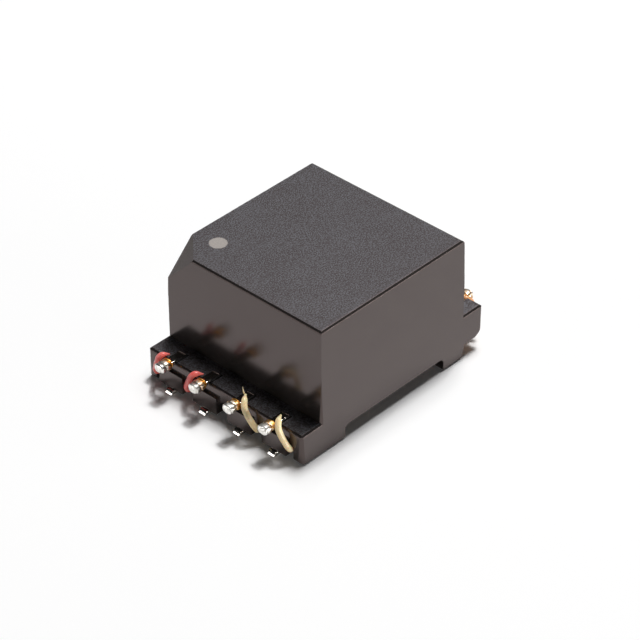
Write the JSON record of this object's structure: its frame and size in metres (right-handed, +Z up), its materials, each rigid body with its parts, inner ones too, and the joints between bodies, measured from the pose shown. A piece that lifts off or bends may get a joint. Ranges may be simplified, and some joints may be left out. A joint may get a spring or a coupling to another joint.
{
  "type": "surface-mount toroidal isolation transformer",
  "caption": "Small isolation transformer: wound toroid in a moulded case, wires wrapped on strip terminals with flat solder feet.",
  "frame": {"origin": "centre of the footprint, on the board plane under the terminals' feet", "axes": "+Z up from the board, X across the two terminal rows, Y along a row, pin 1 at the -X, +Y corner"},
  "size_m": [0.0166, 0.0114, 0.0078],
  "materials": {
    "moulding": "fine-grained matt moulding, glossier on the ledges",
    "ferrite": "dull grey sintered ferrite",
    "silicone": "soft satin bond",
    "red_wire": "glossy wire insulation",
    "cream_wire": "glossy wire insulation",
    "orange_wire": "glossy wire insulation",
    "tinned_strip": "bright tin plating",
    "solder": "bright dipped solder"
  },
  "bodies": {
    "root": {"case": "moulding", "toroid_core": "ferrite", "core_bond": "silicone", "winding_1_2": "red_wire", "winding_3_4": "cream_wire", "winding_5_6": "orange_wire", "winding_7_8": "orange_wire", "terminal_1": "tinned_strip", "terminal_2": "tinned_strip", "terminal_3": "tinned_strip", "terminal_4": "tinned_strip", "terminal_5": "tinned_strip", "terminal_6": "tinned_strip", "terminal_7": "tinned_strip", "terminal_8": "tinned_strip", "solder_joint_1": "solder", "solder_joint_2": "solder", "solder_joint_3": "solder", "solder_joint_4": "solder", "solder_joint_5": "solder", "solder_joint_6": "solder", "solder_joint_7": "solder", "solder_joint_8": "solder"}
  },
  "joints": []
}
